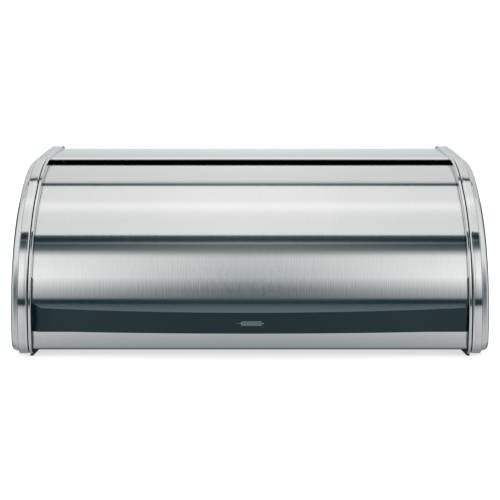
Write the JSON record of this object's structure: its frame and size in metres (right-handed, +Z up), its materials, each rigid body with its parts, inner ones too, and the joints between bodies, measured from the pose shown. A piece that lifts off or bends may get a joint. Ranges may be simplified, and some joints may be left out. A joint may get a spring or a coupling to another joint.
{
  "type": "bread box with roll top",
  "caption": "Countertop bread box of brushed steel with a curved lid that rolls up and back on side pivots, dark handle bar and low front rail.",
  "frame": {"origin": "middle of the footprint of the whole box with its handle, on the surface it stands on", "axes": "+X along the width, +Y from the handle to the back, +Z up"},
  "size_m": [0.445, 0.2797, 0.168],
  "materials": {
    "cap_steel": "fine brushed stainless steel, grain across the bow",
    "shell_steel": "fine brushed stainless steel",
    "lid_steel": "fine brushed stainless steel, grain up the lid",
    "liner_plastic": "black moulded plastic, fine texture",
    "handle_plastic": "black moulded plastic, satin gloss",
    "zinc_steel": "bright zinc plated",
    "arm_steel": "plain rolled stainless steel",
    "nylon": "natural nylon",
    "rubber": "matt black rubber"
  },
  "bodies": {
    "body": {"top_back_shell": "shell_steel", "base_tray": "shell_steel", "seam_rivets": "zinc_steel", "lip_rod": "zinc_steel", "rail_rod": "zinc_steel", "end_cap_left": "cap_steel", "end_cap_right": "cap_steel", "side_liner_left": "liner_plastic", "side_liner_right": "liner_plastic", "cap_screws_left": "zinc_steel", "cap_screws_right": "zinc_steel", "shell_screws_left": "zinc_steel", "shell_screws_right": "zinc_steel", "tray_screws_left": "zinc_steel", "tray_screws_right": "zinc_steel", "pivot_pin_left": "zinc_steel", "pivot_pin_right": "zinc_steel", "pivot_nut_left": "zinc_steel", "pivot_nut_right": "zinc_steel", "pivot_washer_left": "zinc_steel", "pivot_washer_right": "zinc_steel", "closed_buffer_left": "rubber", "closed_buffer_right": "rubber", "open_buffer_left": "rubber", "open_buffer_right": "rubber", "foot_front_left": "rubber", "foot_front_right": "rubber", "foot_rear_left": "rubber", "foot_rear_right": "rubber"},
    "lid": {"lid_sheet": "lid_steel", "lid_hem_rod": "zinc_steel", "handle_bar": "handle_plastic", "handle_backing": "arm_steel", "handle_screws": "zinc_steel", "lid_arm_left": "arm_steel", "lid_arm_right": "arm_steel", "pivot_bush_left": "nylon", "pivot_bush_right": "nylon"}
  },
  "joints": [
    {"name": "lid_roll", "type": "hinge", "parent": "body", "child": "lid", "pos_m": [0, -0.00415, 0.032], "axis": [-1, 0, 0], "range_deg": [0, 75]}
  ]
}
